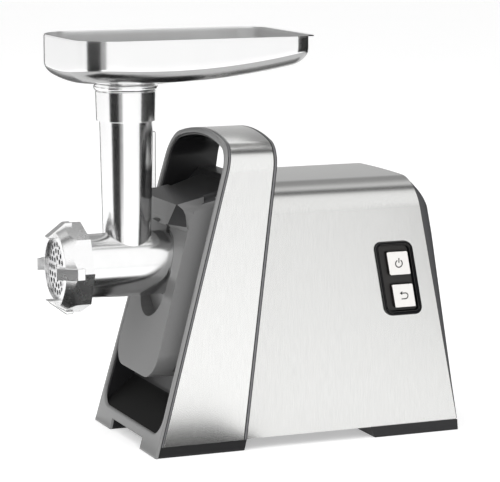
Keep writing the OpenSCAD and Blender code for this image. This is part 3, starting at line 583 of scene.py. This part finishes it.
def makeBodySkin():
    section = [(1, 0, 0.3), (0.25, 0, 0.3), (0, 0, 0.55), (0, 1, -0.25), (0.25, 1, 0), (1, 1, 0)]
    piece = sweep("body_wrap", bodyPath(tower["feet"]), section, (rearY, tailY), 50)
    combine(piece, panelStack("tool", [(0, -8), (0, 8)], 35.6, 65.5, 6))
    return settle(cleanUp(piece, 50), "body_skin", bodySteel)


cover = {"back": 296.45, "lean": 0.142, "roll": 196, "ease": 110, "rows": 9, "pitch": 10, "firstRow": 92,
         "slot": (40, 4, 1.9), "apart": 26, "gland": 8.2}


def coverY(z):
    return cover["back"] - cover["lean"] * z - max(0, z - cover["roll"]) ** 2 / cover["ease"]


def makeRearCover():
    inner = [(47.5, 1, -0.5), (32, 1, -0.7), (18, 1, -1.3), (10.5, 1, -2), (6.5, 1, -2.5), (4.4, 0.95, -2.5),
             (3.4, 0.75, 0), (3.2, 0.3, 0), (3.2, 0, 0.2), (3.5, 0, -9)]
    outer = [(1.2, 0, -9), (1.2, 0, -0.4), (0.9, 0, 0.2), (0.6, 0.3, 0), (0.8, 0.75, 0), (1.7, 0.95, 0),
             (4, 1, 0), (8, 1, 0.5), (16, 1, 1.2), (30, 1, 1.8), (45, 1, 2)]
    rings = []
    for away, f, d in inner + outer:
        ring = []
        for x, z, nx, nz in bodyPath(tower["feet"]):
            px, pz = x + nx * away, max(tower["feet"] + away * 0.6, z + nz * away)
            ring.append(at(px, tailY(pz) * (1 - f) + coverY(pz) * f + d, pz))
        rings.append(ring)
    shell = loft("rear_shell", rings, angle=40)
    slots = []
    w, h, r = cover["slot"]
    for row in range(cover["rows"]):
        for side in (-1, 1):
            outline = [(side * cover["apart"] + x, cover["firstRow"] + cover["pitch"] * row + z)
                       for x, z in roundRect(w, h, r, 0, 4)]
            slots.append(prismY("tool", outline, 230, 320))
    combine(shell, join("tool", *slots))
    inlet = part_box("cable_gland")
    middle = ((inlet[0].x + inlet[1].x) / 2 / mm, (inlet[0].z + inlet[1].z) / 2 / mm)
    combine(shell, prismY("tool", arc(middle[0], middle[1], cover["gland"], 0, 352.5, 47), 240, 320))
    return settle(cleanUp(shell, 40), "rear_cover", coverPlastic)


makeBodySkin()
makeRearCover()

bezel = {"w": 37.5, "h": 67.4, "r": 7.5, "deep": -5.8}
keys = {"w": 20.4, "h": 21, "r": 1.2, "top": 3.0,
        "places": {"power_button": (2, 13.8), "reverse_button": (2, -15.8)}}
outward = Vector((math.cos(panel["tilt"]), 0, math.sin(panel["tilt"])))


def makeBezel():
    levels = [(1.2, bezel["deep"]), (1.2, 0.05), (0, 0.1), (0, 1.2), (0.25, 1.75), (0.8, 2.0), (2.2, 2.0),
              (2.6, 1.7), (2.75, 1.2), (3.0, 1.2), (3.2, 1.75), (3.6, 1.75), (3.8, 1.3), (4.1, 0.2),
              (4.4, -1.6)]
    piece = panelStack("control_frame", levels, bezel["w"], bezel["h"], bezel["r"], angle=30)
    for middle in keys["places"].values():
        hole = panelStack("tool", [(0, -9), (0, 5)], keys["w"] + 0.8, keys["h"] + 0.8, 1.5, middle)
        combine(piece, hole)
    settle(cleanUp(piece, 30), "control_bezel", blackPlastic, paintedSheenPlastic)
    floor0, floor1, rim0, rim1 = (onPanel(0, 0, h).dot(outward) for h in (-1.7, 0.5, 1.3, 1.9))

    # painted sheen on the floor round the keys and a painted highlight on the thin inner rim
    def paintedSheen(face):  # the floor round the keys and the thin inner rim
        level, facing = face.center.dot(outward), face.normal.dot(outward)
        return floor0 < level < floor1 and facing > 0.5 or rim0 < level < rim1 and facing > 0.8

    paint(piece, 1, paintedSheen)
    return piece


def makeKey(nodeName, middle):
    levels = [(0, -8), (0, 2.2), (0.12, 2.7), (0.45, 2.95), (0.9, keys["top"])]
    piece = panelStack(nodeName.replace("button", "key"), levels, keys["w"], keys["h"], keys["r"], middle, 50)
    settle(piece, nodeName, keyPlastic, keySideShade)
    level = onPanel(0, 0, 2.45).dot(outward)
    # painted shade: the key's sides below its rounded top take the second, dark plastic
    paint(piece, 1, lambda face: face.center.dot(outward) < level)
    return piece


def iconPlate(name, outline, middle):
    u0, v0 = middle[0] - panel["skew"] * middle[1], middle[1]
    top = keys["top"]
    return loft(name, [[onPanel(u0 + u, v0 + v, h) for u, v in outline] for h in (top - 0.3, top + 0.1)],
                angle=20)


# an even line round a path, as an outline
def stroke(points, width):
    left, right = [], []
    for i, point in enumerate(points):
        before, after = points[max(0, i - 1)], points[min(len(points) - 1, i + 1)]
        way = Vector((after[0] - before[0], after[1] - before[1])).normalized()
        left.append((point[0] - way.y * width / 2, point[1] + way.x * width / 2))
        right.append((point[0] + way.y * width / 2, point[1] - way.x * width / 2))
    return left + right[::-1]


def makeIcons():
    power, back = keys["places"]["power_button"], keys["places"]["reverse_button"]
    ring = iconPlate("ring", stroke(arc(0, -0.3, 3.3, 120, 420, 28), 0.95), power)
    bar = iconPlate("bar", stroke([(0, 0.4), (0, 4.7)], 0.95), power)
    powerIcon = join("power_icon", ring, bar)
    turn = [(-2.4, 2.3), (1.2, 2.3)] + arc(1.2, -0.3, 2.6, 80, -80, 12) + [(1.2, -2.9), (-2.6, -2.9)]
    hook = iconPlate("hook", stroke(turn, 0.9), back)
    tip = iconPlate("tip", [(-4.4, 2.3), (-1.9, 0.5), (-1.9, 4.1)], back)
    backIcon = join("return_icon", hook, tip)
    for icon, nodeName in ((powerIcon, "power_button"), (backIcon, "reverse_button")):
        icon.data.materials.append(iconInk)
        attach(icon, bodyOf[nodeName])


iconInk = finish("iconInk", (0.012, 0.011, 0.011), 0.008, 0.0, 0.6, 0.05, 900, 0.02)
makeBezel()
for keyName, keyPlace in keys["places"].items():
    makeKey(keyName, keyPlace)
makeIcons()

head = {"barrel": 28.7, "bore": 25.4, "thread": 35.15, "mouth": -57, "neckEnd": 74, "top": 321, "steps": 128}


def makeHead():
    r, thread, mouth, end = head["barrel"], head["thread"], head["mouth"], head["neckEnd"]
    barrel = loft("cast_head", revolve(
        [(thread - 0.6, mouth), (thread, mouth + 0.6), (thread, -42.6), (thread - 0.5, -42), (r + 0.8, -38.6),
         (r, -37.5), (r, 34), (r - 0.5, end - 0.8), (r - 1.3, end)], head["steps"], alongAxis))
    bead = arc(25.2, 317.5, 3.4, -70, 88, 12)
    tube = loft("tube", revolve(
        [(10, axisZ), (21.4, axisZ + 6), (21.6, axisZ + 30), (23.6, 287), (23.7, 287.4), (26.1, 287.9),
         (26.3, 288.4), (27.0, 313.4), (26.5, 313.9)] + bead + [(24.4, head["top"])],
        head["steps"], alongTube))
    rib = prismY("rib", [(-2.4, 226), (2.4, 226), (2.4, 277), (-2.4, 277)], tubeY + 18, 31.5)
    bevel(rib, 0.8, 3, 30)
    combine(barrel, tube, "UNION")
    combine(barrel, rib, "UNION")
    lug = prismY("lug", [(-3.5, axisZ), (3.5, axisZ), (3.5, axisZ + 33.7), (-3.5, axisZ + 33.7)], 47, 56)
    combine(barrel, lug, "UNION")
    bore = loft("bore", revolve([(31.1, -80), (31.1, -55.2), (head["bore"], -55.1), (head["bore"], 44),
                                 (14, 44.1), (14, 68), (17, 68.1), (17, 90)], 96, alongAxis))
    feed = loft("feed", revolve([(18.6, axisZ), (20.8, 289.9), (24.4, 290), (24.4, 340)], 96, alongTube))
    combine(bore, feed, "UNION")
    combine(barrel, bore)
    slot = prismY("tool", [(-2, axisZ + 29), (2, axisZ + 29), (2, axisZ + 34), (-2, axisZ + 34)], -60, -53)
    combine(barrel, slot)
    return settle(cleanUp(barrel, 28), "grinder_head", castAluminium)


# a CAD node's own shape with merged faces and softened edges
def polishedCopy(nodeName, name, width, segments, material, limit=25, angle=30):
    node = frame["nodes"][nodeName]
    pickNothing()
    piece = node.copy()
    piece.data = node.data.copy()
    for key in list(piece.keys()):
        del piece[key]
    bpy.context.scene.collection.objects.link(piece)
    piece.parent = None
    piece.name = piece.data.name = name
    pick(piece)
    bpy.ops.object.mode_set(mode="EDIT")
    bpy.ops.mesh.select_all(action="SELECT")
    bpy.ops.mesh.remove_doubles(threshold=2e-6)
    bpy.ops.mesh.dissolve_limited(angle_limit=math.radians(1))
    bpy.ops.object.mode_set(mode="OBJECT")
    if width:
        modify(piece, "BEVEL", width=width * mm, segments=segments, limit_method="ANGLE",
               angle_limit=math.radians(limit), use_clamp_overlap=True)
    bpy.ops.object.shade_smooth_by_angle(angle=math.radians(angle))
    return settle(piece, nodeName, material)


makeHead()

nut = {"front": -63.5, "back": -39, "face": 33.5, "outer": 41.2, "cone": 13.2, "flats": 40.5, "lug": 5.3,
       "lugSide": [(-70.5, 27.6), (-70.5, 28.8), (-54.4, 40.8), (-48, 40.8), (-48, 37), (-62, 27.6)]}


def makeNut():
    front, back = nut["front"], nut["back"]
    profile = [(nut["face"] - 0.4, front), (nut["face"], front + 0.3), (nut["outer"], front + nut["cone"]),
               (nut["outer"], back)]
    shell = loft("ring_nut_shell", revolve(profile, 192, alongAxis))
    eight = [(nut["flats"] * math.cos(math.pi * i / 4), axisZ + nut["flats"] * math.sin(math.pi * i / 4))
             for i in range(8)]
    combine(shell, prismY("tool", eight, front - 5, back + 5), "INTERSECT")
    for quarter in range(4):
        c, n = round(math.cos(math.pi * quarter / 2)), round(math.sin(math.pi * quarter / 2))
        rings = [[at(c * x + n * r, y, axisZ + c * r - n * x) for y, r in nut["lugSide"]]
                 for x in (-nut["lug"], nut["lug"])]
        combine(shell, bevel(loft("tool", rings), 0.5), "UNION")
    bore = [(27.2, front - 10), (27.2, -60.9), (31.3, -60.8), (31.3, -57.2), (35.2, -57.1), (35.2, back + 5)]
    combine(shell, loft("tool", revolve(bore, 96, alongAxis)))
    return settle(cleanUp(shell, 14), "ring_nut", nutSteel)


makeNut()

trayLow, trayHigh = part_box("tray")
tray = {"rim": trayHigh.z / mm, "half": trayHigh.x / mm, "front": (trayLow.y - toe) / mm, "lip": 5.5,
        "rear": (trayHigh.y - toe) / mm - 5.5, "depth": 41.1, "steel": 1.1, "corners": (18, 37),
        "spigot": 297, "throat": 24.6, "wide": 15, "tall": 10, "rise": 1300, "dish": 5.5}


def trayFloor(x, y):
    return tray["rim"] - tray["depth"] + (y - 15) ** 2 / tray["rise"] + tray["dish"] * (x / 65) ** 2


def trayOutline():
    rear, front = tray["corners"]
    half, y0, y1 = tray["half"], tray["front"], tray["rear"]
    right = arc(half - front, y0 + front, front, -90, 0, 14) + arc(half - rear, y1 - rear, rear, 0, 90, 14)
    loop = right + [(-x, y) for x, y in reversed(right)]
    dense = []
    for point, after in zip(loop, loop[1:] + loop[:1]):
        steps = max(1, round(math.dist(point, after) / 12))
        dense += [(point[0] + (after[0] - point[0]) * k / steps, point[1] + (after[1] - point[1]) * k / steps)
                  for k in range(steps)]
    return dense


def makeTray():
    loop, rim, tall = trayOutline(), tray["rim"], tray["tall"]
    lip = [(x, y + (tray["lip"] if y > tray["rear"] - 1 else 0)) for x, y in loop]
    rings = [[at(x, y, rim - 1.2) for x, y in lip], [at(x, y, rim - 0.2) for x, y in lip],
             [at(x, y, rim) for x, y in inset(loop, 0.4)], [at(x, y, rim - 0.9) for x, y in inset(loop, 0.7)]]
    for part in (0.2, 0.5, 0.8):
        rings.append([at(x, y, rim - (rim - trayFloor(x, y) - tall) * part) for x, y in inset(loop, 0.7)])
    for i in range(10):
        a = math.radians(90 * i / 9)
        rings.append([at(x, y, trayFloor(x, y) + tall * (1 - math.sin(a)))
                      for x, y in inset(loop, 0.7 + tray["wide"] * (1 - math.cos(a)))])
    edge = inset(loop, 0.7 + tray["wide"])
    turns = [math.atan2(y - tubeY, x) for x, y in edge]
    for part in (0.12, 0.28, 0.45, 0.62, 0.78, 0.9, 1):
        ring = []
        for (x, y), a in zip(edge, turns):
            px = x + (tray["throat"] * math.cos(a) - x) * part
            py = y + (tubeY + tray["throat"] * math.sin(a) - y) * part
            ring.append(at(px, py, trayFloor(px, py)))
        rings.append(ring)
    for r, z in ((24.2, rim - tray["depth"] - 0.7), (23.9, rim - tray["depth"] - 2), (23.8, tray["spigot"])):
        rings.append([at(r * math.cos(a), tubeY + r * math.sin(a), z) for a in turns])
    piece = loft("meat_tray", rings, capStart=False, capEnd=False, angle=60)
    modify(piece, "SOLIDIFY", thickness=tray["steel"] * mm, offset=-1)
    settle(cleanUp(piece, 50), "tray", polishedSteel, panSteel, filletShadeSteel)
    centre = at(0, (tray["front"] + tray["rear"]) / 2, 0)
    paint(piece, 1, lambda face: face.normal.z > 0.1 or face.center.z > (rim - 36) * mm and
          (face.center - centre).dot(Vector((face.normal.x, face.normal.y, 0))) < 0)
    # painted shade: the downward faces of the outer fillet take the third, darker steel
    paint(piece, 2, lambda face: -0.97 < face.normal.z < -0.25 and face.center.z > (rim - 36) * mm)
    return piece


makeTray()

polishedCopy("front_feet", "front_foot_pads", 0.5, 2, footRubber)
polishedCopy("rear_feet", "rear_foot_pads", 0.5, 2, footRubber)
polishedCopy("lock_knob", "lock_screw", 0.4, 2, blackPlastic)
polishedCopy("cutting_plate", "hole_plate", 0.2, 1, groundSteel, 40)

# metres; the sky pairs a cosine from the camera's side with a brightness, and a flag is its first and last
# angle, near edge, height and brightness
studio = {"camera": Vector((0.925, -0.38, 0)), "floorGlow": 0.42, "strength": 1.15,
          "sky": [(-1, 0.55), (-0.85, 0.3), (-0.55, 0.32), (-0.22, 0.8), (-0.12, 0.65), (-0.07, 0.02),
                  (0.14, 0.02), (0.22, 1), (1, 1)],
          "flags": {"leftFlag": (-62, -24, 0.6, 0.4, 0.01), "softFlag": (-24, -10, 1.15, 0.4, 0.35),
                    "rightFlag": (62, 146, 1.15, 0.36, 0.02), "edgeFlag": (-180, -148, 0.5, 0.4, 0.15)},
          "far": 1.2, "low": (-0.1, 0.24, -0.4, 0.0)}


def makeFloor():
    pickNothing()
    bpy.ops.mesh.primitive_plane_add(size=60, location=(0, 0, 0))
    floor = bpy.context.object
    floor.name = "floor"
    paper = finish("paper", 0.8, 0.78, 0.0, 0.8, 0.05, 3, 0, specular=0.1)
    shader = paper.node_tree.nodes["Principled BSDF"]
    shader.inputs["Emission Color"].default_value = (1, 1, 1, 1)
    shader.inputs["Emission Strength"].default_value = studio["floorGlow"]
    floor.data.materials.append(paper)


def glowMaterial(name, glow):
    material = bpy.data.materials.new(name)
    material.use_nodes = True
    nodes, links = material.node_tree.nodes, material.node_tree.links
    nodes.clear()
    light = nodes.new("ShaderNodeEmission")
    light.inputs["Color"].default_value = (1, 1, 1, 1)
    light.inputs["Strength"].default_value = glow
    out = nodes.new("ShaderNodeOutputMaterial")
    links.new(light.outputs["Emission"], out.inputs["Surface"])
    return material


# a card that shows only in reflections
def mirrorCard(name, corners, glow):
    pickNothing()
    bpy.ops.mesh.primitive_plane_add(size=1, location=(0, 0, 0))
    card = bpy.context.object
    card.name = name
    for vertex, corner in zip(card.data.vertices, corners):
        vertex.co = corner
    card.data.materials.append(glowMaterial(name, glow))
    card.visible_camera = card.visible_diffuse = card.visible_shadow = card.visible_transmission = False


# cards round the head, by angle from the camera's heading: a strip of floor and an upright wall behind it
def flag(name, start, end, near, high, glow):
    centre = at(0, tubeY, 0)
    heading = math.atan2(studio["camera"].y, studio["camera"].x)
    steps = max(1, round(abs(end - start) / 12))
    for i in range(steps):
        a0, a1 = (heading + math.radians(start + (end - start) * k / steps) for k in (i, i + 1))
        (n0, f0), (n1, f1) = ([centre + Vector((r * math.cos(a), r * math.sin(a), 0.003))
                               for r in (near, studio["far"])] for a in (a0, a1))
        mirrorCard(f"{name}_floor_{i}", [n0, f0, n1, f1], glow)
        up = Vector((0, 0, high))
        mirrorCard(f"{name}_wall_{i}", [f0, f1, f0 + up, f1 + up], glow)


def areaLight(name, size, place, aim, power):
    pickNothing()
    bpy.ops.object.light_add(type="AREA", location=place)
    lamp = bpy.context.object
    lamp.name = name
    lamp.data.shape = "RECTANGLE"
    lamp.data.size, lamp.data.size_y = size
    lamp.data.energy = power
    lamp.visible_glossy = False
    lamp.rotation_mode = "QUATERNION"
    lamp.rotation_quaternion = (Vector(aim) - Vector(place)).to_track_quat("-Z", "Y")


def makeWorld():
    world = bpy.data.worlds.new("studio")
    bpy.context.scene.world = world
    world.use_nodes = True
    nodes, links = world.node_tree.nodes, world.node_tree.links
    place = nodes.new("ShaderNodeTexCoord")
    facing = nodes.new("ShaderNodeVectorMath")
    facing.operation = "DOT_PRODUCT"
    facing.inputs[1].default_value = studio["camera"]
    spread = nodes.new("ShaderNodeMapRange")
    spread.inputs["From Min"].default_value = -1
    ramp = nodes.new("ShaderNodeValToRGB")
    stops = ramp.color_ramp.elements
    for i, (turn, level) in enumerate(studio["sky"]):
        stop = stops[i] if i < 2 else stops.new(turn / 2 + 0.5)
        stop.position, stop.color = turn / 2 + 0.5, (level, level, level, 1)
    links.new(place.outputs["Generated"], facing.inputs[0])
    links.new(facing.outputs["Value"], spread.inputs["Value"])
    links.new(spread.outputs["Result"], ramp.inputs["Fac"])
    links.new(ramp.outputs["Color"], nodes["Background"].inputs["Color"])
    nodes["Background"].inputs["Strength"].default_value = studio["strength"]


makeFloor()
makeWorld()
areaLight("overhead", (3, 3), (0.1, -0.1, 2.6), (0, 0, 0), 30)
areaLight("front", (1.2, 1.2), (0.9, -1.7, 1.1), (0, 0, 0.15), 8)
for flagName, layout in studio["flags"].items():
    flag(flagName, *layout)
x0, x1, y0, y1 = studio["low"]
mirrorCard("lowFlag", [(x, y, 0.002) for y in (y0, y1) for x in (x0, x1)], 0.03)
bpy.context.scene.view_settings.view_transform = "Standard"
print("studio made")
